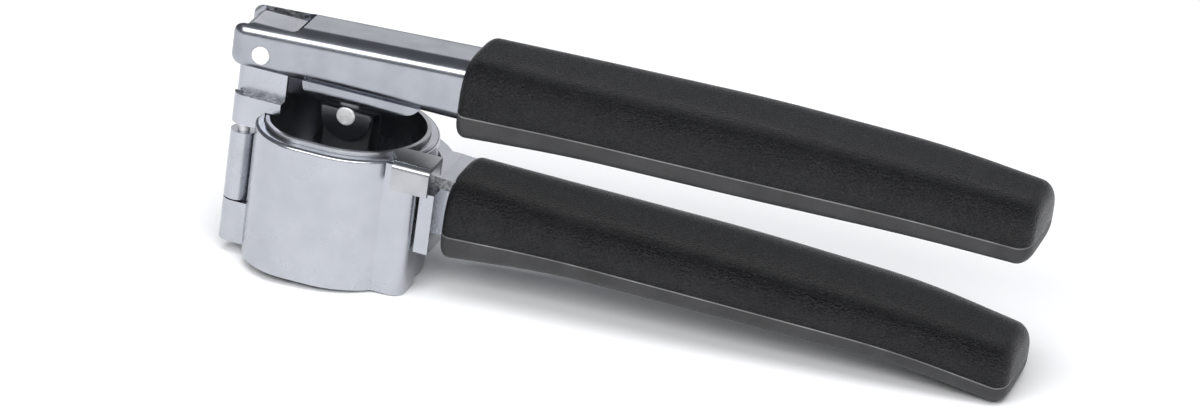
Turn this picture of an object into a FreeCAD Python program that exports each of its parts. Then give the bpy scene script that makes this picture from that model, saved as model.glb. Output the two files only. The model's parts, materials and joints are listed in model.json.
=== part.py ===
import FreeCAD, Part
import math
import os
import Sketcher

# Garlic press with a swing-out lower handle.
# The model is laid out about the lever pivot: X runs along the handles, Y across them and Z up the
# cup axis. At the end every piece is set down on the plane Z = 0, on the cup edge and the grip end.

SIZES = [
    # upper lever: a folded channel, open below, with two joggled lobes that carry the plunger
    ("lever_width", 14.0, "outside width of the upper channel"),
    ("lever_sheet", 1.3, "sheet of the upper channel"),
    ("lever_nose", 7.4, "pivot to the left end"),
    ("lever_top", 6.4, "pivot to the top face at the left end"),
    ("lever_rise", 3.6, "how much the top face climbs to the end of the tang"),
    ("lever_drop", 4.3, "pivot to the lower edge"),
    ("lever_bend", 3.4, "outside radius of the two folds"),
    ("lever_tang", 22.2, "length of the channel hidden inside its grip"),
    ("notch_play", 1.6, "bracket to the right edge of the notch in the top"),
    ("notch_corner", 2.2, "corner radius of the notch"),
    ("nose_corner", 2.6, "corner radius of the left end, seen from the side"),
    ("lobe_left", 9.5, "plunger rivet to the left end of a lobe, on the channel's edge"),
    ("lobe_right", 16.0, "plunger rivet to its right end"),
    ("lobe_root", 1.2, "how far a lobe runs up the channel's wall"),
    ("lobe_radius", 5.3, "end radius of a lobe round the plunger rivet"),
    ("lobe_inset", 2.0, "how far a lobe is joggled inwards"),
    # rivets and running clearances
    ("rivet_radius", 2.0, "lever and plunger rivets"),
    ("rivet_proud", 0.3, "height of a rivet head"),
    ("running_gap", 0.06, "radial clearance where a piece turns on a pin"),
    ("side_gap", 0.2, "clearance beside a piece that turns"),
    ("plunger_drop", 9.4, "pivot to the plunger rivet, down"),
    # pivot bracket, an inner channel under the notch
    ("bracket_sheet", 1.2, "sheet of the pivot bracket"),
    ("bracket_left", 5.2, "pivot to the left end"),
    ("bracket_right", 5.8, "pivot to the right end"),
    ("bracket_top", 5.4, "pivot to the top face"),
    ("bracket_stand", 0.4, "lower edge above the insert's rim"),
    ("bracket_bend", 2.0, "outside radius of its folds"),
    # cup
    ("cup_start", 3.5, "pivot to the inside of the insert's flat hinge side"),
    ("cup_radius", 15.5, "inside radius of the sieve insert"),
    ("cup_corner", 10.0, "inside radius of the two corners at the hinge side"),
    ("insert_sheet", 0.8, "wall of the sieve insert"),
    ("insert_gap", 0.1, "clearance between insert and shell"),
    ("shell_sheet", 1.9, "wall of the shell"),
    ("insert_rim", 12.0, "pivot down to the rim of the insert"),
    ("rim_round", 0.8, "rounding of the shell's rim"),
    ("sieve_depth", 20.4, "insert's rim down to the sieve plate"),
    ("foot_height", 9.8, "sieve plate down to the foot of the shell"),
    ("sieve_thick", 1.0, "thickness of the sieve plate"),
    ("sieve_hole", 0.85, "radius of a sieve hole"),
    ("sieve_pitch", 2.9, "distance between sieve holes"),
    ("sieve_margin", 2.0, "solid edge outside the holes"),
    # flat panel and return flange of the shell
    ("panel_setback", 4.9, "panel's face behind the front of the round wall"),
    ("panel_stand", 0.7, "return flange beyond the round wall, along the handle"),
    ("panel_drop", 0.45, "panel's top below the shell's rim"),
    ("panel_bend", 2.6, "outside radius of the return bend"),
    ("flange_width", 7.7, "width of the return flange"),
    # latch hook of the insert
    ("hook_sheet", 0.9, "sheet of the hook"),
    ("hook_gap", 0.1, "hook above the shell's rim"),
    ("hook_overlap", 4.6, "return flange to the hook's left side"),
    ("hook_reach", 3.4, "return flange to the hook's right side"),
    ("hook_width", 6.2, "panel's face to the hook's back edge"),
    ("hook_stand", 2.2, "hook's front leg before the panel's face"),
    ("hook_leg", 6.0, "insert's rim down to the end of the leg"),
    ("hook_shoulder", 1.0, "panel's face to the point where the neck widens"),
    ("hook_root", 2.7, "width of the neck at the insert's wall"),
    ("hook_bend", 1.6, "outside radius of the hook's bend"),
    ("lip_leg", 3.8, "insert's rim down to the end of the back lip"),
    ("lip_length", 2.6, "length of the back lip along the handle"),
    # vertical hinge
    ("leaf_sheet", 2.4, "thickness of the hinge leaves and ledges"),
    ("barrel_radius", 2.7, "outside radius of a knuckle"),
    ("barrel_stand", 0.4, "clearance between a knuckle and the round wall"),
    ("pin_radius", 1.25, "hinge pin"),
    ("pin_proud", 0.5, "pin below the lower knuckle"),
    ("ledge_rise", 2.7, "top of the upper knuckle above the insert's rim"),
    ("ledge_inset", 1.0, "back ledge's left end inside the bracket's"),
    ("upper_knuckle", 6.5, "height of the upper knuckle"),
    ("open_knuckle", 1.9, "gap below it, where the pin shows"),
    ("lower_knuckle", 9.2, "height of the lower knuckle"),
    ("knuckle_gap", 0.3, "gap above the lower knuckle"),
    # lower frame: a strap behind the cup that carries the lower handle
    ("strap_sheet", 3.0, "thickness of the strap"),
    ("strap_gap", 0.5, "clearance between the strap and the return flange"),
    ("strap_drop", 1.8, "strap's upper edge below the top of its knuckle"),
    ("post_setback", 2.9, "cut end of the strap behind the panel's face"),
    ("shank_width", 14.0, "width of the lower shank's top"),
    ("shank_sheet", 2.4, "sheet of the lower shank"),
    ("shank_gap", 0.8, "lower shank's top below the hook's lip"),
    ("shank_height", 13.2, "height of the lower shank"),
    ("shank_fall", 2.4, "how much the shank's top falls towards its hidden end"),
    ("shank_inset", 1.3, "how far the shank's walls stand in from its top"),
    ("shank_tang", 28.2, "length of the shank hidden inside its grip"),
    # plunger
    ("stem_half", 5.0, "half the width of the plunger's stem along the handle"),
    ("stem_sheet", 1.2, "sheet of the stem"),
    ("plate_thick", 1.5, "thickness of the plunger plate"),
    ("plate_gap", 0.3, "plate above the sieve when closed"),
    ("plate_play", 0.5, "clearance between the plate's arcs and the insert"),
    ("plate_slack", 0.1, "clearance at the far point of the plunger's swing"),
    ("stud_radius", 1.8, "stud that joins plate and stem"),
    ("stud_head", 1.0, "height of the stud's head"),
    # grips
    ("grip_stand", 2.3, "strap to the grips' mouths"),
    ("grip_length", 121.0, "length of a grip"),
    ("grip_round", 5.6, "corner radius of a grip's section"),
    ("grip_end_round", 1.4, "how far a grip's end face is drawn in"),
    ("half_mouth", 11.4, "half width of a grip at its mouth"),
    ("half_neck", 12.8, "half width a fifth of the way along"),
    ("half_middle", 13.2, "half width in the middle"),
    ("half_tail", 12.6, "half width four fifths of the way along"),
    ("half_end", 10.8, "half width at the end"),
    ("upper_mouth_low", -6.6, "pivot to the upper grip's underside at its mouth"),
    ("upper_neck_low", -4.2, "pivot to the upper grip's underside at its neck"),
    ("upper_middle_low", -3.5, "pivot to the upper grip's underside in its middle"),
    ("upper_tail_low", -2.7, "pivot to the upper grip's underside at its tail"),
    ("upper_end_low", -3.6, "pivot to the upper grip's underside at its end"),
    ("upper_mouth_high", 11.3, "pivot to the upper grip's top at its mouth"),
    ("upper_neck_high", 11.6, "pivot to the upper grip's top at its neck"),
    ("upper_middle_high", 12.4, "pivot to the upper grip's top in its middle"),
    ("upper_tail_high", 11.8, "pivot to the upper grip's top at its tail"),
    ("upper_end_high", 10.1, "pivot to the upper grip's top at its end"),
    ("lower_mouth_low", -17.0, "shank's top to the lower grip's underside at its mouth"),
    ("lower_neck_low", -13.6, "shank's top to the lower grip's underside at its neck"),
    ("lower_middle_low", -13.5, "shank's top to the lower grip's underside in its middle"),
    ("lower_tail_low", -13.8, "shank's top to the lower grip's underside at its tail"),
    ("lower_end_low", -17.3, "shank's top to the lower grip's underside at its end"),
    ("lower_mouth_high", 1.2, "shank's top to the lower grip's top at its mouth"),
    ("lower_neck_high", 0.1, "shank's top to the lower grip's top at its neck"),
    ("lower_middle_high", -0.5, "shank's top to the lower grip's top in its middle"),
    ("lower_tail_high", -2.1, "shank's top to the lower grip's top at its tail"),
    ("lower_end_high", -5.0, "shank's top to the lower grip's top at its end"),
]

doc = FreeCAD.newDocument("garlic_press")
sheet = doc.addObject("Spreadsheet::Sheet", "Sizes")


class Size:
    """A number and the sheet expression that gives it, so that sketches stay bound to the sheet."""

    def __init__(self, value, text):
        self.value = value
        self.text = text

    def joined(self, other, sign, value):
        other_text = other.text if isinstance(other, Size) else repr(float(other))
        return Size(value, "(%s %s %s)" % (self.text, sign, other_text))

    def __add__(self, other):
        return self.joined(other, "+", self.value + number(other))

    def __sub__(self, other):
        return self.joined(other, "-", self.value - number(other))

    def __mul__(self, other):
        return self.joined(other, "*", self.value * number(other))

    def __truediv__(self, other):
        return self.joined(other, "/", self.value / number(other))

    def __neg__(self):
        return Size(-self.value, "(-1 * %s)" % self.text)


def number(size):
    return size.value if isinstance(size, Size) else float(size)


def as_size(size):
    return size if isinstance(size, Size) else Size(float(size), repr(float(size)))


def hypotenuse(a, b):
    return Size(math.hypot(a.value, b.value), "hypot(%s; %s)" % (a.text, b.text))


def other_leg(longest, leg):
    """The second leg of a right triangle."""
    value = math.sqrt(longest.value ** 2 - leg.value ** 2)
    return Size(value, "sqrt((%s)^2 - (%s)^2)" % (longest.text, leg.text))


class Sizes:
    """The sheet's values by name."""


S = Sizes()
for row, (name, value, note) in enumerate(SIZES, start=1):
    sheet.set("A%d" % row, note)
    sheet.set("B%d" % row, repr(value))
    sheet.setAlias("B%d" % row, name)
    setattr(S, name, Size(value, "Sizes." + name))
doc.recompute()

ALONG_Y = FreeCAD.Rotation(FreeCAD.Vector(1, 0, 0), -90)
UPRIGHT = FreeCAD.Rotation()


def bind(obj, prop, size):
    setattr(obj, prop, number(size))
    obj.setExpression(prop, as_size(size).text)


def place(obj, x, y, z, rotation=UPRIGHT):
    obj.Placement = FreeCAD.Placement(FreeCAD.Vector(number(x), number(y), number(z)), rotation)
    for axis, size in zip("xyz", (x, y, z)):
        obj.setExpression("Placement.Base." + axis, as_size(size).text)
    return obj


def box(name, x, y, z):
    """A box between pairs of coordinates, each a (low, high) pair."""
    obj = doc.addObject("Part::Box", name)
    for prop, (low, high) in zip(("Length", "Width", "Height"), (x, y, z)):
        bind(obj, prop, as_size(high) - low)
    return place(obj, x[0], y[0], z[0])


def rod(name, radius, start, length, rotation=UPRIGHT):
    """A cylinder from its start point, upright or along Y."""
    obj = doc.addObject("Part::Cylinder", name)
    bind(obj, "Radius", radius)
    bind(obj, "Height", length)
    return place(obj, *start, rotation)


def fuse(name, *pieces):
    obj = doc.addObject("Part::MultiFuse", name)
    obj.Shapes = list(pieces)
    obj.Refine = True
    return obj


def cut(name, base, *tools):
    obj = doc.addObject("Part::Cut", name)
    obj.Base = base
    obj.Tool = tools[0] if len(tools) == 1 else fuse(name + "_tools", *tools)
    obj.Refine = True
    return obj


def common(name, *pieces):
    obj = doc.addObject("Part::MultiCommon", name)
    obj.Shapes = list(pieces)
    return obj


def rounded(name, base, radius, wanted):
    """The edges of base that pass a test, filleted."""
    doc.recompute()
    obj = doc.addObject("Part::Fillet", name)
    obj.Base = base
    picked = [i for i, edge in enumerate(base.Shape.Edges, start=1) if wanted(edge)]
    obj.Edges = [(i, number(radius), number(radius)) for i in picked]
    return obj


def arc_centre(a, b, radius, turn):
    """Centre of the short arc from a to b; turn is 1 for a left-hand arc and -1 for a right-hand one."""
    dx, dy = b[0] - a[0], b[1] - a[1]
    half = math.hypot(dx, dy) / 2
    rise = turn * math.sqrt(max(radius * radius - half * half, 0.0)) / (2 * half)
    return (a[0] + b[0]) / 2 - dy * rise, (a[1] + b[1]) / 2 + dx * rise


def outline(body, name, plane, level, path):
    """A closed sketch. path holds (x, y) corners; an entry (x, y, radius, turn) is reached by an arc."""
    sketch = body.newObject("Sketcher::SketchObject", name)
    origin = [f for f in body.Origin.OriginFeatures if f.Role == plane][0]
    sketch.AttachmentSupport = [(origin, "")]
    sketch.MapMode = "FlatFace"
    sketch.AttachmentOffset = FreeCAD.Placement(FreeCAD.Vector(0, 0, number(level)), UPRIGHT)
    sketch.setExpression("AttachmentOffset.Base.z", as_size(level).text)
    corners = [(number(p[0]), number(p[1])) for p in path]
    ends = []
    for i, point in enumerate(path):
        a, b = corners[i - 1], corners[i]
        start, end = FreeCAD.Vector(*a, 0), FreeCAD.Vector(*b, 0)
        if len(point) == 2:
            sketch.addGeometry(Part.LineSegment(start, end))
            ends.append((1, 2))
            continue
        radius, turn = point[2:]
        centre = FreeCAD.Vector(*arc_centre(a, b, number(radius), turn), 0)
        circle = Part.Circle(centre, FreeCAD.Vector(0, 0, 1), number(radius))
        first, last = (start, end) if turn > 0 else (end, start)
        angles = [math.atan2(v.y - centre.y, v.x - centre.x) for v in (first, last)]
        if angles[1] < angles[0]:
            angles[1] += 2 * math.pi
        sketch.addGeometry(Part.ArcOfCircle(circle, *angles))
        ends.append((1, 2) if turn > 0 else (2, 1))
    count = len(path)
    for i, point in enumerate(path):
        after = (i + 1) % count
        sketch.addConstraint(Sketcher.Constraint("Coincident", i, ends[i][1], after, ends[after][0]))
        for kind, size in (("DistanceX", point[0]), ("DistanceY", point[1])):
            fixed = Sketcher.Constraint(kind, -1, 1, i, ends[i][1], number(size))
            index = sketch.addConstraint(fixed)
            sketch.setExpression("Constraints[%d]" % index, as_size(size).text)
        if len(point) > 2:
            index = sketch.addConstraint(Sketcher.Constraint("Radius", i, number(point[2])))
            sketch.setExpression("Constraints[%d]" % index, as_size(point[2]).text)
    return sketch


def prism(name, plane, low, high, path):
    """A body padded from one level of an origin plane to another."""
    body = doc.addObject("PartDesign::Body", name)
    sketch = outline(body, name + "_outline", plane, low, path)
    pad = body.newObject("PartDesign::Pad", name + "_pad")
    pad.Profile = sketch
    bind(pad, "Length", as_size(high) - low)
    body.Tip = pad
    return body


def loft(name, plane, sections, ruled=False):
    """A body lofted through (level, path) sections, smoothly or in straight runs."""
    body = doc.addObject("PartDesign::Body", name)
    sketches = []
    for i, (level, path) in enumerate(sections):
        sketches.append(outline(body, "%s_section_%d" % (name, i), plane, level, path))
    doc.recompute()
    feature = body.newObject("PartDesign::AdditiveLoft", name + "_loft")
    feature.Profile = sketches[0]
    feature.Sections = sketches[1:]
    feature.Ruled = ruled
    body.Tip = feature
    return body


def rectangle(x, y):
    return [(x[0], y[0]), (x[1], y[0]), (x[1], y[1]), (x[0], y[1])]


def finish(name, obj):
    """Marks an object as a sub-part; its label names its file."""
    obj.Label = name
    nodes.append(obj)
    return obj


nodes = []
HALF_LEVER = S.lever_width / 2
BRACKET_HALF = HALF_LEVER - S.lever_sheet - S.side_gap

# the cup, seen from above: its axis, the offsets of its walls, the panel and the hinge axis
CUP_X = S.cup_start + S.cup_radius
SHELL_IN = S.insert_sheet + S.insert_gap
SHELL_OUT = SHELL_IN + S.shell_sheet
PANEL_FRONT = S.cup_radius + SHELL_OUT - S.panel_setback
PANEL_RIGHT = CUP_X + S.cup_radius + SHELL_OUT + S.panel_stand
SPINE_X = CUP_X - S.cup_radius - SHELL_OUT - S.barrel_radius - S.barrel_stand
SPINE = (SPINE_X, S.barrel_radius - S.leaf_sheet - BRACKET_HALF)
LEAF_FRONT = SPINE[1] - S.barrel_radius

# the levels down the cup
INSERT_RIM = -S.insert_rim
SHELL_RIM = INSERT_RIM - S.hook_sheet - S.hook_gap
SIEVE_TOP = INSERT_RIM - S.sieve_depth
SIEVE_FOOT = SIEVE_TOP - S.sieve_thick
SHELL_FOOT = SIEVE_TOP - S.foot_height
BRACKET_FOOT = INSERT_RIM + S.bracket_stand
LEDGE_TOP = INSERT_RIM + S.ledge_rise
UPPER_KNUCKLE_FOOT = LEDGE_TOP - S.upper_knuckle
MIDDLE_KNUCKLE_TOP = UPPER_KNUCKLE_FOOT - S.open_knuckle
LOWER_KNUCKLE_TOP = SHELL_FOOT + S.lower_knuckle
MIDDLE_KNUCKLE_FOOT = LOWER_KNUCKLE_TOP + S.knuckle_gap

# the strap and the grips
STRAP_IN = PANEL_RIGHT + S.strap_gap - CUP_X
STRAP_OUT = STRAP_IN + S.strap_sheet
STRAP_TOP = MIDDLE_KNUCKLE_TOP - S.strap_drop
SHANK_TOP = INSERT_RIM - S.lip_leg - S.shank_gap
GRIP_START = CUP_X + STRAP_OUT + S.grip_stand


def cup_outline(offset):
    """The cup seen from above: round, with a flat hinge side and two corners, grown by an offset."""
    radius = S.cup_radius + offset
    corner = S.cup_corner + offset
    left = CUP_X - radius
    flat = S.cup_radius - S.cup_corner
    return [
        (left, -flat),
        (left + corner, -radius, corner, 1),
        (CUP_X, -radius),
        (CUP_X + radius, 0, radius, 1),
        (CUP_X, radius, radius, 1),
        (left + corner, radius),
        (left, flat, corner, 1),
    ]


def cup_wall(name, inner, outer, foot, rim):
    solid = prism(name + "_outer", "XY_Plane", foot, rim, cup_outline(outer))
    bore = prism(name + "_inner", "XY_Plane", foot - 1, rim + 1, cup_outline(inner))
    return cut(name + "_wall", solid, bore)


def level_edge(edge, z):
    bounds = edge.BoundBox
    return abs(bounds.ZMax - z) < 1e-4 and abs(bounds.ZMin - z) < 1e-4


def along_x(edge):
    a, b = edge.Vertexes[0].Point, edge.Vertexes[-1].Point
    return (b - a).Length > 1 and abs(b.y - a.y) < 1e-4 and abs(b.x - a.x) > 0.9 * (b - a).Length


def make_shell():
    """The outer cup: wall, flat panel with a return flange, two knuckles and the two ledges."""
    wall = cup_wall("shell", SHELL_IN, SHELL_OUT, SHELL_FOOT, SHELL_RIM)
    reach = number(S.cup_radius + SHELL_OUT) - 1e-3
    centre = number(CUP_X)

    def on_outer_rim(edge):
        b = edge.BoundBox
        outer = max(b.XMax - centre, centre - b.XMin, b.YMax, -b.YMin) > reach
        return outer and level_edge(edge, number(SHELL_RIM))

    wall = rounded("shell_rounded", wall, S.rim_round, on_outer_rim)
    thick = S.shell_sheet
    # the panel's mid plane leaves the wall where it crosses the wall's own middle
    middle_radius = S.cup_radius + SHELL_IN + thick / 2
    start = CUP_X + other_leg(middle_radius, PANEL_FRONT - thick / 2)
    right = PANEL_RIGHT
    panel = prism("panel", "XY_Plane", SHELL_FOOT, SHELL_RIM - S.panel_drop, [
        (start, -PANEL_FRONT),
        (right - S.panel_bend, -PANEL_FRONT),
        (right, -PANEL_FRONT + S.panel_bend, S.panel_bend, 1),
        (right, -PANEL_FRONT + S.flange_width),
        (right - thick, -PANEL_FRONT + S.flange_width),
        (right - thick, -PANEL_FRONT + S.panel_bend),
        (right - S.panel_bend, -PANEL_FRONT + thick, S.panel_bend - thick, -1),
        (start, -PANEL_FRONT + thick),
    ])
    # knuckles: each leaf curls round the pin at the left and ends in the wall
    wall_in = CUP_X - S.cup_radius - SHELL_IN
    pieces = [wall, panel]
    front = (LEAF_FRONT, -BRACKET_HALF)
    back = (BRACKET_HALF, -LEAF_FRONT)
    levels = ((UPPER_KNUCKLE_FOOT, LEDGE_TOP), (SHELL_FOOT, LOWER_KNUCKLE_TOP))
    for name, (low, high) in zip(("upper", "lower"), levels):
        pieces.append(rod(name + "_barrel", S.barrel_radius, (*SPINE, low), high - low))
        pieces.append(box(name + "_leaf", (SPINE[0], wall_in), front, (low, high)))
    ledge = (INSERT_RIM + S.side_gap, LEDGE_TOP)
    pieces.append(box("ledge_front", (SPINE[0], S.bracket_right), front, ledge))
    pieces.append(box("ledge_back", (S.ledge_inset - S.bracket_left, S.bracket_right), back, ledge))
    pieces.append(box("ledge_web", (wall_in - thick, wall_in), back, (UPPER_KNUCKLE_FOOT, LEDGE_TOP)))
    body = fuse("shell_solid", *pieces)
    bore = rod("shell_pin_bore", S.pin_radius, (*SPINE, SHELL_FOOT - 1), BRACKET_FOOT - SHELL_FOOT + 1)
    seat = box("bracket_seat", (-S.bracket_left, S.bracket_right), (-BRACKET_HALF, BRACKET_HALF),
               (BRACKET_FOOT, LEDGE_TOP + 1))
    return finish("hopper_shell", cut("hopper_shell_part", body, bore, seat))


def make_bracket():
    """An inner channel, folded over at the top, that holds the lever pivot."""
    half = BRACKET_HALF
    left, right, top = -S.bracket_left, S.bracket_right, S.bracket_top
    solid = prism("bracket_block", "XZ_Plane", -half, half, [
        (left, BRACKET_FOOT),
        (right, BRACKET_FOOT),
        (right, top),
        (left + S.bracket_bend, top),
        (left, top - S.bracket_bend, S.bracket_bend, 1),
    ])
    outside = rounded("bracket_folds", solid, S.bracket_bend,
                      lambda e: along_x(e) and level_edge(e, number(top)))
    wall = S.bracket_sheet
    hollow = box("bracket_hollow", (left - 1, right + 1), (wall - half, half - wall),
                 (BRACKET_FOOT - 1, top - wall))
    inside = rounded("bracket_hollow_folds", hollow, S.bracket_bend - wall,
                     lambda e: along_x(e) and level_edge(e, number(top - wall)))
    hole = rod("bracket_hole", S.rivet_radius, (0, -half - 1, 0), half * 2 + 2, ALONG_Y)
    return finish("pivot_bracket", cut("pivot_bracket_part", outside, inside, hole))


def make_insert():
    """The sieve: a thin cup with a perforated bottom and a hook that latches over the panel."""
    wall = cup_wall("insert", 0, S.insert_sheet, SIEVE_FOOT, INSERT_RIM)
    floor = prism("sieve_floor", "XY_Plane", SIEVE_FOOT, SIEVE_TOP, cup_outline(S.insert_sheet / 2))
    holes = doc.addObject("Part::Feature", "sieve_holes")
    pitch, bore = number(S.sieve_pitch), number(S.sieve_hole)
    row_pitch = pitch * math.sqrt(3) / 2
    reach = number(S.cup_radius - S.sieve_margin)
    deep = number(S.sieve_thick) + 2
    rows, columns = int(reach / row_pitch), int(reach / pitch) + 1
    drills = []
    for row in range(-rows, rows + 1):
        for column in range(-columns, columns + 1):
            x, y = (column + (row % 2) / 2) * pitch, row * row_pitch
            if math.hypot(x, y) <= reach:
                at = FreeCAD.Vector(number(CUP_X) + x, y, number(SIEVE_FOOT) - 1)
                drills.append(Part.makeCylinder(bore, deep, at))
    holes.Shape = Part.makeCompound(drills)
    # the hook: a level neck from the wall, a leg before the panel and a lip behind it
    top, under = INSERT_RIM, INSERT_RIM - S.hook_sheet
    left, right = PANEL_RIGHT - S.hook_overlap, PANEL_RIGHT + S.hook_reach
    front, back = PANEL_FRONT + S.hook_stand, PANEL_FRONT - S.hook_width
    bend_back = -front + S.hook_bend
    middle_radius = S.cup_radius + S.insert_sheet / 2
    root = back + S.hook_root
    neck = prism("hook_neck", "XY_Plane", under, top, [
        (CUP_X + other_leg(middle_radius, root), -root),
        (left, S.hook_shoulder - PANEL_FRONT),
        (left, bend_back),
        (right, bend_back),
        (right, -back),
        (CUP_X + other_leg(middle_radius, back), -back),
    ])
    leg = prism("hook_leg", "YZ_Plane", left, right, [
        (-front, top - S.hook_leg),
        (-front + S.hook_sheet, top - S.hook_leg),
        (-front + S.hook_sheet, top - S.hook_bend),
        (bend_back, under, S.hook_bend - S.hook_sheet, -1),
        (bend_back, top),
        (-front, top - S.hook_bend, S.hook_bend, 1),
    ])
    lip = box("hook_lip", (right - S.lip_length, right), (-back - S.hook_sheet, -back),
              (top - S.lip_leg, top))
    body = fuse("insert_solid", wall, floor, neck, leg, lip)
    return finish("sieve_insert", cut("sieve_insert_part", body, holes))


def make_frame():
    """The strap behind the cup, its middle knuckle, and the folded shank of the lower handle."""
    low = MIDDLE_KNUCKLE_FOOT
    inner, outer = STRAP_IN, STRAP_OUT
    corner_in = inner - S.cup_radius + S.cup_corner
    corner_out = corner_in + S.strap_sheet
    post = S.post_setback - PANEL_FRONT
    strap = prism("strap", "XY_Plane", low, STRAP_TOP, [
        (CUP_X - inner, SPINE[1]),
        (CUP_X - inner, inner - corner_in),
        (CUP_X - inner + corner_in, inner, corner_in, -1),
        (CUP_X, inner),
        (CUP_X + inner, 0, inner, -1),
        (CUP_X + inner, post),
        (CUP_X + outer, post),
        (CUP_X + outer, 0),
        (CUP_X, outer, outer, 1),
        (CUP_X - outer + corner_out, outer),
        (CUP_X - outer, outer - corner_out, corner_out, 1),
        (CUP_X - outer, SPINE[1]),
    ])
    knuckle = MIDDLE_KNUCKLE_TOP - low
    barrel = rod("middle_barrel", S.barrel_radius, (*SPINE, low), knuckle)
    half = S.shank_width / 2
    foot = SHANK_TOP - S.shank_height
    tongue = box("tongue", (CUP_X + inner, CUP_X + outer), (-half, half), (foot, SHANK_TOP))
    # the shank, a folded channel, starts inside the strap and ends inside the grip
    start, end = CUP_X + outer - S.strap_sheet / 6, GRIP_START + S.shank_tang

    def shank_side(name, low, high, near, far):
        """The shank seen from the side, padded across; low and high are its edges at both ends."""
        return prism(name, "XZ_Plane", near, far, [
            (start, low[0]),
            (end, low[1]),
            (end, high[1]),
            (start, high[0]),
        ])

    top = (SHANK_TOP, SHANK_TOP - S.shank_fall)
    under = (top[0] - S.shank_sheet, top[1] - S.shank_sheet)
    middle = (top[0] - S.shank_sheet / 2, top[1] - S.shank_sheet / 2)
    wall_out = half - S.shank_inset
    wall_in = wall_out - S.shank_sheet
    web = shank_side("shank_web", under, top, -half, half)
    near_wall = shank_side("shank_wall_near", (foot, foot), middle, -wall_out, -wall_in)
    far_wall = shank_side("shank_wall_far", (foot, foot), middle, wall_in, wall_out)
    solid = fuse("frame_solid", strap, barrel, tongue, web, near_wall, far_wall)
    bore = rod("frame_pin_bore", S.pin_radius + S.running_gap, (*SPINE, low - 1), knuckle + 2)
    return finish("lower_frame", cut("lower_frame_part", solid, bore))


def upright_at(edge, x):
    b = edge.BoundBox
    return abs(b.XMax - number(x)) < 1e-4 and b.XLength < 1e-4 and b.ZLength > 1


def make_lever():
    """The upper channel: folded sheet, notched over the bracket, with two joggled lobes."""
    left, right = -S.lever_nose, GRIP_START + S.lever_tang
    corner = S.nose_corner
    high = S.lever_top + S.lever_rise
    block = prism("lever_block", "XZ_Plane", -HALF_LEVER, HALF_LEVER, [
        (left, corner - S.lever_drop),
        (left + corner, -S.lever_drop, corner, 1),
        (right, -S.lever_drop),
        (right, high),
        (left + corner, S.lever_top),
        (left, S.lever_top - corner, corner, 1),
    ])
    outside = rounded("lever_folds", block, S.lever_bend,
                      lambda e: along_x(e) and e.BoundBox.ZMin > number(S.lever_top) - 0.1)
    half = HALF_LEVER - S.lever_sheet
    hollow = prism("lever_hollow", "XZ_Plane", -half, half, [
        (left - 1, -S.lever_drop - 1),
        (right + 1, -S.lever_drop - 1),
        (right + 1, high - S.lever_sheet),
        (left - 1, S.lever_top - S.lever_sheet),
    ])
    inside = rounded("lever_hollow_folds", hollow, S.lever_bend - S.lever_sheet,
                     lambda e: along_x(e) and e.BoundBox.ZMin > 0)
    notch_end = S.bracket_right + S.notch_play
    notch = box("notch", (left - 1, notch_end), (-half, half), (S.lever_top / 3, S.lever_top * 2))
    notch = rounded("notch_corners", notch, S.notch_corner, lambda e: upright_at(e, notch_end))
    channel = cut("channel", outside, inside, notch)
    body = fuse("lever_solid", channel, make_lobe("near_lobe", -1), make_lobe("far_lobe", 1))
    across = S.lever_width + 2
    start = -HALF_LEVER - 1
    pivot = rod("lever_pivot_hole", S.rivet_radius + S.running_gap, (0, start, 0), across, ALONG_Y)
    hole = rod("lever_lobe_hole", S.rivet_radius, (CUP_X, start, -S.plunger_drop), across, ALONG_Y)
    return finish("upper_lever", cut("upper_lever_part", body, pivot, hole))


LOBE_OUT = HALF_LEVER - S.lobe_inset
LOBE_IN = LOBE_OUT - S.lever_sheet
# a lobe's stations below the channel's edge, as shares of the way down, of the joggle inwards and
# of the way that its left and right edges draw in to the disc
LOBE_STATIONS = (
    (0.15, 0.08, 0.10, 0.22),
    (0.45, 0.62, 0.58, 0.72),
    (0.75, 1.0, 0.92, 0.95),
    (1.0, 1.0, 1.0, 1.0),
)


def make_lobe(name, side):
    """A lobe drawn in towards the middle: a smooth joggle that ends in a disc round the rivet."""
    half = S.lobe_radius
    sheet_in, sheet_out = (0, S.lever_sheet) if side < 0 else (S.lever_sheet, 0)

    def section(level, inward, from_left, from_right):
        x_low = CUP_X - S.lobe_left - (half - S.lobe_left) * from_left
        x_high = CUP_X + S.lobe_right - (S.lobe_right - half) * from_right
        face = (HALF_LEVER - S.lobe_inset * inward) * side
        return level, rectangle((x_low, x_high), (face - sheet_in, face + sheet_out))

    sections = [section(S.lobe_root - S.lever_drop, 0.0, 0.0, 0.0)]
    for down, inward, from_left, from_right in LOBE_STATIONS:
        level = -S.lever_drop - (S.plunger_drop - S.lever_drop) * down
        sections.append(section(level, inward, from_left, from_right))
    body = loft(name, "XY_Plane", sections)
    start = -LOBE_OUT if side < 0 else LOBE_IN
    disc = rod(name + "_disc", half, (CUP_X, start, -S.plunger_drop), S.lever_sheet, ALONG_Y)
    return fuse(name + "_whole", body, disc)


def make_rivet(name, x, z, half_width):
    """A rivet across the press with two low domed heads that stay within its own diameter."""
    radius, proud = S.rivet_radius, S.rivet_proud
    length = half_width * 2 + proud * 2
    shaft = rod(name + "_shaft", radius, (x, -half_width - proud, z), length, ALONG_Y)
    part = rounded(name + "_part", shaft, proud, lambda e: len(e.Vertexes) == 1 and e.Length > 1)
    return finish(name, part)


def make_pin():
    """The upright pin, pressed into the shell's two knuckles up to the bracket's foot."""
    low = SHELL_FOOT - S.pin_proud
    pin = rod("pin_shaft", S.pin_radius, (*SPINE, low), BRACKET_FOOT - low)
    part = rounded("hinge_pin_part", pin, S.pin_proud,
                   lambda e: len(e.Vertexes) == 1 and level_edge(e, number(low)))
    return finish("hinge_pin", part)


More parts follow.
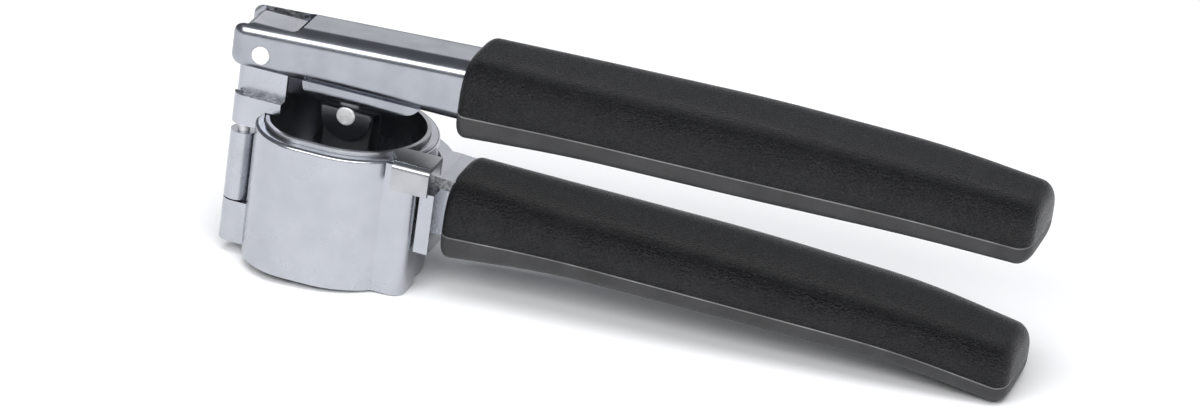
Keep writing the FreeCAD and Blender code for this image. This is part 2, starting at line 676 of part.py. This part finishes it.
def make_plunger():
    """Stem, plate and the stud that joins them."""
    half = LOBE_IN - S.side_gap
    plate_foot = SIEVE_TOP + S.plate_gap
    foot = plate_foot + S.plate_thick
    x = (CUP_X - S.stem_half, CUP_X + S.stem_half)
    block = box("stem_block", x, (-half, half), (foot, -S.plunger_drop))
    cap = rod("stem_cap", S.stem_half, (CUP_X, -half, -S.plunger_drop), half * 2, ALONG_Y)
    solid = fuse("stem_solid", block, cap)
    floor = foot + S.stem_sheet
    hollow = box("stem_hollow", (x[0] - 1, x[1] + 1), (S.stem_sheet - half, half - S.stem_sheet),
                 (floor, S.stem_half - S.plunger_drop + 1))
    hole = rod("stem_hole", S.rivet_radius + S.running_gap, (CUP_X, -half - 1, -S.plunger_drop),
               half * 2 + 2, ALONG_Y)
    stud_hole = rod("stem_stud_hole", S.stud_radius, (CUP_X, 0, foot - 1), S.stem_sheet + 2)
    finish("plunger_stem", cut("plunger_stem_part", solid, hollow, hole, stud_hole))
    # two arcs, set apart by how far the plunger's pivot moves along the handle as the lever swings
    shift = hypotenuse(CUP_X, S.plunger_drop) - CUP_X + S.plate_slack
    arcs = []
    for name, x in (("left", CUP_X - shift), ("right", CUP_X + shift)):
        at = (x, 0, plate_foot)
        arcs.append(rod("plate_arc_" + name, S.cup_radius - S.plate_play, at, S.plate_thick))
    plate_hole = rod("plate_hole", S.stud_radius, (CUP_X, 0, plate_foot - 1), S.plate_thick + 2)
    finish("plunger_plate", cut("plunger_plate_part", common("plate_lens", *arcs), plate_hole))
    shaft = rod("stud_shaft", S.stud_radius, (CUP_X, 0, plate_foot), floor - plate_foot)
    head = doc.addObject("Part::Cone", "stud_head_cone")
    bind(head, "Radius1", half - S.stem_sheet - S.side_gap)
    bind(head, "Radius2", S.stud_radius / 2)
    bind(head, "Height", S.stud_head)
    place(head, CUP_X, 0, floor)
    finish("plate_stud", fuse("plate_stud_part", shaft, head))


# each station's name, its share of the grip's length, and how many end roundings it is drawn in
STATIONS = (
    ("mouth", 0.0, 0.0),
    ("neck", 0.2, 0.0),
    ("middle", 0.5, 0.0),
    ("tail", 0.8, 0.0),
    ("end", 0.97, 0.0),
    ("end", 1.0, 1.0),
)


def make_grip(name, tang, level):
    """A grip moulded round a tang: rounded sections lofted along the handle, measured from a level."""
    sections = []
    corner = S.grip_round
    for station, share, drawn_in in STATIONS:
        inset = S.grip_end_round * drawn_in
        low = getattr(S, "%s_%s_low" % (name, station)) + level + inset
        high = getattr(S, "%s_%s_high" % (name, station)) + level - inset
        half = getattr(S, "half_" + station) - inset
        sections.append((GRIP_START + S.grip_length * share, [
            (half - corner, low),
            (half, low + corner, corner, 1),
            (half, high - corner),
            (half - corner, high, corner, 1),
            (-half + corner, high),
            (-half, high - corner, corner, 1),
            (-half, low + corner),
            (-half + corner, low, corner, 1),
        ]))
    body = loft(name + "_grip_loft", "YZ_Plane", sections, ruled=True)
    return finish(name + "_grip", cut(name + "_grip_part", body, tang))


def recompute_all():
    doc.recompute()
    failed = [obj.Label for obj in doc.Objects if "Invalid" in obj.State or "Error" in obj.State]
    if failed:
        raise RuntimeError("failed objects: " + ", ".join(failed))


def lowest(shape, pitch):
    turned = shape.copy()
    turned.rotate(FreeCAD.Vector(), FreeCAD.Vector(0, 1, 0), pitch)
    return turned.optimalBoundingBox(False).ZMin


def standing_pitch(foot, grip):
    """The angle at which the cup's foot and the lower grip's end touch the same level plane."""
    low, high = 0.0, 12.0
    for _ in range(30):
        middle = (low + high) / 2
        if lowest(grip, middle) > lowest(foot, middle):
            low = middle
        else:
            high = middle
    return middle


shell = make_shell()
make_bracket()
make_insert()
frame = make_frame()
lever = make_lever()
make_rivet("pivot_rivet", 0, 0, HALF_LEVER)
make_rivet("plunger_rivet", CUP_X, -S.plunger_drop, LOBE_OUT)
make_pin()
make_plunger()
make_grip("upper", lever, 0)
lower_grip = make_grip("lower", frame, SHANK_TOP)
recompute_all()

# stand the press on the cup's edge and the grip's end, with its box's bottom centre at the origin
pitch = standing_pitch(shell.Shape, lower_grip.Shape)
turn = FreeCAD.Rotation(FreeCAD.Vector(0, 1, 0), pitch)
whole = Part.makeCompound([node.Shape for node in nodes])
whole.rotate(FreeCAD.Vector(), FreeCAD.Vector(0, 1, 0), pitch)
bounds = whole.optimalBoundingBox(False)
shift = FreeCAD.Vector(-bounds.Center.x, -bounds.Center.y, -bounds.ZMin)
stand = FreeCAD.Placement(shift, turn)
parts = []
for node in nodes:
    name = node.Label
    node.Label = name + "_solid"
    part = doc.addObject("Part::Compound", name)
    part.Links = [node]
    part.Label = name
    part.Placement = stand
    parts.append(part)
recompute_all()

os.makedirs("parts", exist_ok=True)
for part in parts:
    if part.Shape.isNull() or not part.Shape.isValid() or not part.Shape.Solids:
        raise RuntimeError("%s has no valid solid" % part.Label)
    part.Shape.exportStep("parts/%s.step" % part.Label)
    print("%-16s %8.1f mm3, %d solid" % (part.Label, part.Shape.Volume, len(part.Shape.Solids)))

# where the joints and the foot are, for the record
points = {
    "lever_hinge": (0, 0, 0),
    "plunger_hinge": (CUP_X, 0, -S.plunger_drop),
    "handle_swing": (*SPINE, MIDDLE_KNUCKLE_FOOT),
    "foot": (CUP_X, 0, SHELL_FOOT),
}
for name, point in points.items():
    at = stand.multVec(FreeCAD.Vector(*[number(v) for v in point]))
    print("%s at %.6f %.6f %.6f" % (name, at.x, at.y, at.z))
up = turn.multVec(FreeCAD.Vector(0, 0, 1))
print("cup axis %.8f %.8f %.8f, pitch %.4f" % (up.x, up.y, up.z, pitch))
print("size", bounds.XLength, bounds.YLength, bounds.ZLength)
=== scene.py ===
import json
import math

import bmesh
import bpy
from mathutils import Matrix, Vector
from mathutils.bvhtree import BVHTree


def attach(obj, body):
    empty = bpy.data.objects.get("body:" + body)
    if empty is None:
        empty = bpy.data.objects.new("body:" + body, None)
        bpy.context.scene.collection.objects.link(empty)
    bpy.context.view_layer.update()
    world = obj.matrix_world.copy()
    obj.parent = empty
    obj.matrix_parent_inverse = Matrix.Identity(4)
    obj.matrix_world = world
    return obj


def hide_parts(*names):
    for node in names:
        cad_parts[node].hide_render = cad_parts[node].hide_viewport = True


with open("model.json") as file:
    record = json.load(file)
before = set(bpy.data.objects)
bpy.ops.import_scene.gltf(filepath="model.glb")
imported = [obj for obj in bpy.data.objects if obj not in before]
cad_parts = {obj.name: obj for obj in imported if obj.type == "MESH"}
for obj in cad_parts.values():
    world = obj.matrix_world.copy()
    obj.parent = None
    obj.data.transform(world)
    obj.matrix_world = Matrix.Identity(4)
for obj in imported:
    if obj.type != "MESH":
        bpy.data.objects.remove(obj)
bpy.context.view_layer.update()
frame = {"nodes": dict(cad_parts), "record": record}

MM = 0.001
NODES = frame["nodes"]
JOINTS = {joint["name"]: joint for joint in frame["record"]["behaviour"]["joints"]}

# The press's own frame: its origin is the lever pivot, X runs along the handles and Z up the cup's axis.
PIVOT = Vector(JOINTS["lever_hinge"]["pos_m"])
CUP_AXIS = Vector(JOINTS["handle_swing"]["axis"])
PITCH = math.atan2(CUP_AXIS.x, CUP_AXIS.z)
TO_ROW = Matrix.Translation(PIVOT) @ Matrix.Rotation(PITCH, 4, "Y")
FROM_ROW = TO_ROW.inverted()


# ---- camera, floor and light ----

CAMERA_AZIMUTH = 16.46
CAMERA_ELEVATION = 23.1
CAMERA_ROLL = math.radians(4.06)
CAMERA_DISTANCE = 1.2
CAMERA_TARGET = Vector((-0.00686, 0.0, 0.02097))
CAMERA_LENS = 176.5
CAMERA_SENSOR = 36.0
CAMERA_REACH = 20.0
FLOOR_HALF = 4.0
FLOOR_DROP = 0.05 * MM


def direction(azimuth, elevation):
    """From the press outwards; azimuth 0 is the front and 90 the grips' end, both angles in degrees."""
    a, e = math.radians(azimuth), math.radians(elevation)
    return Vector((math.sin(a) * math.cos(e), -math.cos(a) * math.cos(e), math.sin(e)))


def make_camera():
    data = bpy.data.cameras.new("camera")
    data.lens = CAMERA_LENS
    data.sensor_width = CAMERA_SENSOR
    data.clip_end = CAMERA_REACH
    camera = bpy.data.objects.new("camera", data)
    bpy.context.scene.collection.objects.link(camera)
    back = direction(CAMERA_AZIMUTH, CAMERA_ELEVATION)
    aim = (-back).to_track_quat("-Z", "Y").to_matrix().to_4x4()
    roll = Matrix.Rotation(CAMERA_ROLL, 4, "Z")
    camera.matrix_world = Matrix.Translation(CAMERA_TARGET + back * CAMERA_DISTANCE) @ aim @ roll
    bpy.context.scene.camera = camera


def make_softbox(name, azimuth, elevation, distance, size, energy, glossy=True):
    """An area light that faces the press; one that isn't glossy lights it without a mirror image."""
    data = bpy.data.lights.new(name, "AREA")
    data.shape = "RECTANGLE"
    data.size, data.size_y = size
    data.energy = energy
    away = direction(azimuth, elevation)
    light = bpy.data.objects.new(name, data)
    light.visible_glossy = glossy
    light.location = away * distance
    light.rotation_euler = (-away).to_track_quat("-Z", "Y").to_euler()
    bpy.context.scene.collection.objects.link(light)


def make_floor():
    floor_mesh = bpy.data.meshes.new("floor")
    sides = ((-1, -1), (1, -1), (1, 1), (-1, 1))
    corners = [(x * FLOOR_HALF, y * FLOOR_HALF, -FLOOR_DROP) for x, y in sides]
    floor_mesh.from_pydata(corners, [], [(0, 1, 2, 3)])
    floor = bpy.data.objects.new("floor", floor_mesh)
    bpy.context.scene.collection.objects.link(floor)
    material = bpy.data.materials.new("floor_white")
    material.use_nodes = True
    shader = material.node_tree.nodes["Principled BSDF"]
    shader.inputs["Base Color"].default_value = (0.93, 0.93, 0.94, 1.0)
    shader.inputs["Roughness"].default_value = 0.7
    floor_mesh.materials.append(material)


def make_studio():
    world = bpy.data.worlds.new("studio")
    bpy.context.scene.world = world
    world.use_nodes = True
    background = world.node_tree.nodes["Background"]
    background.inputs["Color"].default_value = (0.80, 0.84, 0.90, 1.0)
    background.inputs["Strength"].default_value = 0.20
    make_softbox("key_softbox", 10, 76, 1.3, (1.5, 1.0), 16, glossy=False)
    make_softbox("front_softbox", 5, 38, 1.2, (1.6, 0.42), 13.0)
    make_softbox("back_panel", 185, 24, 1.4, (1.8, 0.5), 2.5)
    bpy.context.scene.view_settings.view_transform = "Standard"


# ---- materials ----

# noise scales, in features per metre
CLOUD_SCALE = 70.0
STAIN_SCALE = 160.0
TONE_SCALE = 180.0
STREAK_SCALE = 500.0
DENT_SCALE = 900.0
TEAR_SCALE = 1300.0
GRAIN_SCALE = 2600.0

# ramps start and end here, because noise seldom comes nearer to 0 or 1
RAMP_START = 0.3
RAMP_END = 0.7


class Graph:
    """A short way to write a material's nodes."""

    def __init__(self, name):
        self.material = bpy.data.materials.new(name)
        self.material.use_nodes = True
        self.tree = self.material.node_tree
        self.shader = self.tree.nodes["Principled BSDF"]
        self.place = self.tree.nodes.new("ShaderNodeTexCoord").outputs["Object"]

    def node(self, kind, **values):
        made = self.tree.nodes.new("ShaderNode" + kind)
        for key, value in values.items():
            if hasattr(made, key):
                setattr(made, key, value)
            else:
                self.put(value, made.inputs[key.replace("_", " ")])
        return made

    def put(self, value, socket):
        if isinstance(value, bpy.types.NodeSocket):
            self.tree.links.new(value, socket)
        else:
            socket.default_value = value

    def noise(self, scale, detail=2.0, stretch=(1.0, 1.0, 1.0)):
        """Noise in the piece's own space, drawn out where stretch is under 1."""
        mapping = self.node("Mapping", Vector=self.place, Scale=stretch)
        texture = self.node("TexNoise", Vector=mapping.outputs["Vector"], Scale=scale, Detail=detail)
        return texture.outputs["Fac"]

    def cells(self, scale):
        """The distance from the middle of the nearest cell of a leathery pattern."""
        texture = self.node("TexVoronoi", Vector=self.place, Scale=scale)
        return texture.outputs["Distance"]

    def spread(self, value, low, high):
        """Noise made into a number between low and high."""
        made = self.node("MapRange", Value=value, From_Min=RAMP_START, From_Max=RAMP_END,
                         To_Min=low, To_Max=high)
        return made.outputs["Result"]

    def tint(self, value, dark, light):
        """Noise made into a colour between dark and light."""
        ramp = self.node("ValToRGB", Fac=value)
        ends = ((dark, RAMP_START), (light, RAMP_END))
        for element, (color, position) in zip(ramp.color_ramp.elements, ends):
            element.color = (*color, 1.0)
            element.position = position
        return ramp.outputs["Color"]

    def bump(self, height, depth, base=None):
        """A bumped normal, on top of another one if base is given."""
        made = self.node("Bump", Height=height, Distance=depth)
        if base is not None:
            self.put(base, made.inputs["Normal"])
        return made.outputs["Normal"]

    def finish(self, **inputs):
        """Sets the shader's inputs and gives the material."""
        for key, value in inputs.items():
            self.put(value, self.shader.inputs[key.replace("_", " ")])
        return self.material


def steel(name, dark, light, smooth, rough, grain_depth, streak=(1.0, 1.0, 1.0), streak_depth=0.0):
    """Plated steel: cloudy tone, a fine grain in its gloss, and streaks along a direction."""
    g = Graph(name)
    cloud = g.noise(CLOUD_SCALE, 4.0)
    grain = g.noise(GRAIN_SCALE, 3.0)
    streaks = g.noise(STREAK_SCALE, 4.0, streak)
    normal = g.bump(grain, grain_depth)
    normal = g.bump(streaks, streak_depth, normal)
    return g.finish(
        Base_Color=g.tint(g.noise(TONE_SCALE, 5.0), dark, light),
        Metallic=1.0,
        Roughness=g.spread(cloud, smooth, rough),
        Normal=normal,
    )


def rough_steel(name, dark, light):
    """A sheared edge: torn, dark and coarse; laid on the shank's upright sides it is also painted shade.
    """
    g = Graph(name)
    coarse = g.noise(TEAR_SCALE, 6.0)
    return g.finish(
        Base_Color=g.tint(coarse, dark, light),
        Metallic=1.0,
        Roughness=g.spread(g.noise(DENT_SCALE, 2.0), 0.35, 0.65),
        Normal=g.bump(coarse, 0.25 * MM),
    )


def rivet_steel(name):
    """A peened rivet head: bright, with small hammer dents."""
    g = Graph(name)
    dents = g.noise(DENT_SCALE, 3.0)
    return g.finish(
        Base_Color=g.tint(dents, (0.78, 0.78, 0.79), (0.95, 0.95, 0.95)),
        Metallic=0.55,
        Roughness=g.spread(dents, 0.38, 0.6),
        Normal=g.bump(dents, 0.06 * MM),
    )


def grained_plastic(name, dark, light, smooth, rough, cell_size, depth):
    """Black moulded plastic with a leathery grain."""
    g = Graph(name)
    cells = g.cells(1.0 / cell_size)
    fine = g.noise(2.2 / cell_size, 3.0)
    normal = g.bump(cells, depth)
    normal = g.bump(fine, depth * 0.6, normal)
    return g.finish(
        Base_Color=g.tint(g.noise(STAIN_SCALE, 4.0), dark, light),
        Roughness=g.spread(fine, smooth, rough),
        Specular_IOR_Level=0.36,
        Normal=normal,
    )


def make_materials():
    return {
        "plate": steel("plated_sheet", (0.43, 0.445, 0.48), (0.48, 0.495, 0.53), 0.22, 0.30, 0.004 * MM,
                       (0.15, 1.0, 1.0), 0.006 * MM),
        "lever": steel("plated_channel", (0.32, 0.335, 0.365), (0.39, 0.405, 0.44), 0.19, 0.28, 0.004 * MM,
                       (0.08, 1.0, 1.0), 0.006 * MM),
        "sieve": steel("rolled_sheet", (0.36, 0.37, 0.39), (0.46, 0.47, 0.49), 0.24, 0.38, 0.006 * MM,
                       (1.0, 1.0, 0.1), 0.008 * MM),
        "dark": steel("plunger_steel", (0.22, 0.23, 0.25), (0.34, 0.35, 0.37), 0.30, 0.46, 0.008 * MM),
        # dark, coarse steel for sheared edges, also used as painted shade on the shank's upright sides
        "edge": rough_steel("sheared_edge_and_painted_shade", (0.10, 0.10, 0.11), (0.50, 0.51, 0.53)),
        "rivet": rivet_steel("peened_rivet"),
        "grain": grained_plastic("grip_grain", (0.003, 0.003, 0.004), (0.007, 0.007, 0.008),
                                 0.22, 0.38, 0.42 * MM, 0.36 * MM),
        # the base's finer, matte grain is its own; its lighter grey is a painted reflection of the white
        # floor on the grip's lower side
        "fine": grained_plastic("grip_fine_grain_painted_reflection", (0.026, 0.026, 0.027), (0.040, 0.040, 0.041),
                                0.45, 0.60, 0.28 * MM, 0.06 * MM),
        # the parting line's ridge is moulded; its light grey is a painted highlight, the light the thin
        # ridge would catch
        "parting_highlight": grained_plastic("grip_parting_line_painted_highlight", (0.10, 0.10, 0.10), (0.20, 0.20, 0.20),
                                0.30, 0.45, 0.30 * MM, 0.03 * MM),
    }


def coat(node, *materials):
    """Gives a CAD node its materials, the first one everywhere."""
    mesh = NODES[node].data
    mesh.materials.clear()
    for material in materials:
        mesh.materials.append(material)
    for polygon in mesh.polygons:
        polygon.material_index = 0


def press_points(node):
    """A node's vertices in the press's own frame."""
    obj = NODES[node]
    place = FROM_ROW @ obj.matrix_world
    return [place @ vertex.co for vertex in obj.data.vertices]


def paint_second(node, wanted):
    """Gives a node's second material to the faces whose corners, in the press's frame, pass a test."""
    points = press_points(node)
    for polygon in NODES[node].data.polygons:
        if wanted([points[i] for i in polygon.vertices]):
            polygon.material_index = 1


# ---- grips ----

MOUTH_ROUND = 2.2 * MM      # the rounded edge round the mouth
END_ROUND = 3.2 * MM        # the rounded edge round the far end
END_DOME = 0.35 * MM        # how far the end face is domed
END_LOOPS = (0.85, 0.6, 0.3)
PARTING_SHARE = 0.34        # how far up the section the parting line lies
RIDGE_HEIGHT = 0.10 * MM    # the thin ridge on the parting line
RIDGE_HALF = 0.14 * MM
CROWN_POWER = 3.2           # how square the section is above the parting line
BASE_POWER = 4.0            # and below it
SMOOTHING = 9.0 * MM        # the CAD solid's straight runs are averaged over this, each way
SMOOTHING_STEPS = 4
SOLID_SHARE = 0.955         # the part of the solid's length before its end is drawn in
SLOPE_RUN = 4.0 * MM        # the run that gives the slope beyond that part
MOUTH_MARGIN = 0.2 * MM     # the first place to measure, inside the mouth's face
RAY_START = 0.2             # outside the press
RAY_ASIDE = 0.3 * MM        # beside the solid's middle, where its faces may meet
CURVE_STEPS = 240
RING_STEP = 1.6 * MM
ROUND_STEP = 10             # degrees
HALF_POINTS = 40


def make_sections(node):
    """A grip's start and end, and a function that gives its section at a place along the handle.

    A section is its low and high edges and its half width, all read from the grip's CAD solid.
    """
    points = press_points(node)
    faces = [tuple(polygon.vertices) for polygon in NODES[node].data.polygons]
    tree = BVHTree.FromPolygons(points, faces)
    start, end = min(p.x for p in points), max(p.x for p in points)
    first = start + MOUTH_MARGIN
    last = start + (end - start) * SOLID_SHARE

    def measure(x):
        high = tree.ray_cast(Vector((x, RAY_ASIDE, RAY_START)), Vector((0, 0, -1)))[0].z
        low = tree.ray_cast(Vector((x, RAY_ASIDE, -RAY_START)), Vector((0, 0, 1)))[0].z
        half = -tree.ray_cast(Vector((x, -RAY_START, (low + high) / 2)), Vector((0, 1, 0)))[0].y
        return Vector((low, high, half))

    slope = (measure(last) - measure(last - SLOPE_RUN)) / SLOPE_RUN

    def smooth(x):
        x = max(x, first)
        if x > last:
            return measure(last) + slope * (x - last)
        reach = min(SMOOTHING, x - first, last - x)
        steps = range(-SMOOTHING_STEPS, SMOOTHING_STEPS + 1)
        offsets = [reach * k / SMOOTHING_STEPS for k in steps]
        return sum((measure(x + d) for d in offsets), Vector((0, 0, 0))) / len(offsets)

    return start, end, smooth


def half_ring(half, parting, edge, power, count):
    """Points from +half to -half over one side of the parting line, evenly spaced along the curve."""
    curve = []
    for k in range(CURVE_STEPS + 1):
        t = math.pi * k / CURVE_STEPS
        c, s = math.cos(t), math.sin(t)
        y = half * math.copysign(abs(c) ** (2 / power), c)
        curve.append((y, parting + (edge - parting) * abs(s) ** (2 / power)))
    lengths = [0.0]
    for a, b in zip(curve, curve[1:]):
        lengths.append(lengths[-1] + math.dist(a, b))
    out, k = [], 0
    for i in range(1, count):
        want = lengths[-1] * i / count
        while lengths[k + 1] < want:
            k += 1
        share = (want - lengths[k]) / (lengths[k + 1] - lengths[k])
        a, b = curve[k], curve[k + 1]
        out.append((a[0] + (b[0] - a[0]) * share, a[1] + (b[1] - a[1]) * share))
    return out


def section_ring(low, high, half, inset):
    """A grip's section: a crowned top and a flatter base that meet in a thin moulded ridge."""
    low, high, half = low + inset, high - inset, half - inset
    parting = low + (high - low) * PARTING_SHARE
    ridge = [(half, parting - RIDGE_HALF), (half + RIDGE_HEIGHT, parting), (half, parting + RIDGE_HALF)]
    far_ridge = [(-y, z) for y, z in reversed(ridge)]
    top = half_ring(half, parting, high, CROWN_POWER, HALF_POINTS)
    base = half_ring(half, parting, low, BASE_POWER, HALF_POINTS)
    return ridge + top + far_ridge + base[::-1]


def grip_stations(start, end):
    """Places along a grip with how far the section is drawn in there, closest at the rounded ends."""
    turns = [math.radians(a) for a in range(0, 91, ROUND_STEP)]
    near, far = start + MOUTH_ROUND, end - END_DOME - END_ROUND
    count = round((end - start - MOUTH_ROUND - END_ROUND) / RING_STEP)
    mouth = [(near - MOUTH_ROUND * math.cos(a), MOUTH_ROUND * (1 - math.sin(a))) for a in turns]
    length = [(near + (far - near) * k / count, 0.0) for k in range(1, count)]
    tail = [(far + END_ROUND * math.sin(a), END_ROUND * (1 - math.cos(a))) for a in turns]
    return mouth + length + tail


def grip_rings(node):
    """The rings of points that a grip's skin runs through, from its mouth to its domed end."""
    start, end, section_at = make_sections(node)
    rings = []
    for x, inset in grip_stations(start, end):
        rings.append([(x, y, z) for y, z in section_ring(*section_at(x), inset)])
    rim = rings[-1]
    middle = sum(z for _, _, z in rim) / len(rim)
    for share in END_LOOPS:
        rise = END_DOME * (1 - share * share)
        rings.append([(x + rise, y * share, middle + (z - middle) * share) for x, y, z in rim])
    return rings


def make_grip(name, node, body, materials):
    """A moulded grip in place of its CAD solid; materials are its top's, its base's (lightened by a
    painted reflection) and its ridge's (a painted highlight).
    """
    bm = bmesh.new()
    rings = [[bm.verts.new(TO_ROW @ Vector(point)) for point in ring] for ring in grip_rings(node)]
    top = range(2, HALF_POINTS + 2)
    ridges = (0, 1, HALF_POINTS + 2, HALF_POINTS + 3)
    for a, b in zip(rings, rings[1:]):
        for i in range(len(a)):
            j = (i + 1) % len(a)
            face = bm.faces.new((a[i], a[j], b[j], b[i]))
            # the ridge's faces take the parting line's painted highlight
            if i in ridges:
                face.material_index = 2
            # the base below the parting line: its own finer grain, lightened by a painted reflection
            elif i not in top:
                face.material_index = 1
    # flat faces close the mouth, round the tang, and the middle of the dome
    bm.faces.new(rings[-1])
    bm.faces.new(rings[0][::-1])
    for face in bm.faces:
        face.smooth = True
    bmesh.ops.recalc_face_normals(bm, faces=bm.faces)
    mesh = bpy.data.meshes.new(name)
    bm.to_mesh(mesh)
    bm.free()
    for material in materials:
        mesh.materials.append(material)
    grip = bpy.data.objects.new(name, mesh)
    bpy.context.scene.collection.objects.link(grip)
    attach(grip, body)
    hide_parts(node)


# ---- steel ----

TOUCHING = 0.02 * MM        # a face this close to a level lies on it
LEVER_SHEET = 1.3 * MM
NOTCH_END = 8.0 * MM        # right of the lever pivot
SHANK_START = 43.0 * MM     # right of the lever pivot, beyond the cup and its strap


def upright_side(points, level, reach=TOUCHING):
    """Whether a face lies upright along the handles, at a level to the front or the back."""
    return any(all(abs(p.y - side * level) < reach for p in points) for side in (-1, 1))


def coat_shell(looks):
    """The shell's ledges end in a sheared edge at the very top."""
    coat("hopper_shell", looks["plate"], looks["edge"])
    ledge = max(p.z for p in press_points("hopper_shell"))
    paint_second("hopper_shell", lambda ps: all(abs(p.z - ledge) < TOUCHING for p in ps))


def coat_lever(looks):
    """The channel is sheared along the inner faces of its notch."""
    coat("upper_lever", looks["lever"], looks["edge"])
    points = press_points("upper_lever")
    notch_foot = max(p.z for p in points) / 5
    inside = max(abs(p.y) for p in points if p.z < 0 and p.x < 0.0) - LEVER_SHEET

    def in_notch(p):
        return p.x < NOTCH_END and p.z > notch_foot

    paint_second("upper_lever",
                 lambda ps: upright_side(ps, inside, 2 * TOUCHING) and all(map(in_notch, ps)))


def coat_frame(looks):
    """The shank's top is sheared along both its sides; the dark sheared-edge steel laid on its upright
    sides is also painted shade.
    """
    coat("lower_frame", looks["plate"], looks["edge"])
    half = max(abs(p.y) for p in press_points("lower_frame") if p.x > SHANK_START)
    # painted shade: the shank's upright sides get the dark sheared-edge steel
    paint_second("lower_frame", lambda ps: upright_side(ps, half))


PLAIN_STEEL = {
    "pivot_bracket": "plate",
    "sieve_insert": "sieve",
    "hinge_pin": "rivet",
    "pivot_rivet": "rivet",
    "plunger_rivet": "rivet",
    "plate_stud": "rivet",
    "plunger_stem": "dark",
    "plunger_plate": "dark",
}


def coat_steel(looks):
    coat_shell(looks)
    coat_lever(looks)
    coat_frame(looks)
    for node, look in PLAIN_STEEL.items():
        coat(node, looks[look])


make_camera()
make_floor()
make_studio()
looks = make_materials()
coat_steel(looks)
grip_looks = (looks["grain"], looks["fine"], looks["parting_highlight"])
make_grip("upper_grip_moulded", "upper_grip", "upper_handle", grip_looks)
make_grip("lower_grip_moulded", "lower_grip", "lower_handle", grip_looks)
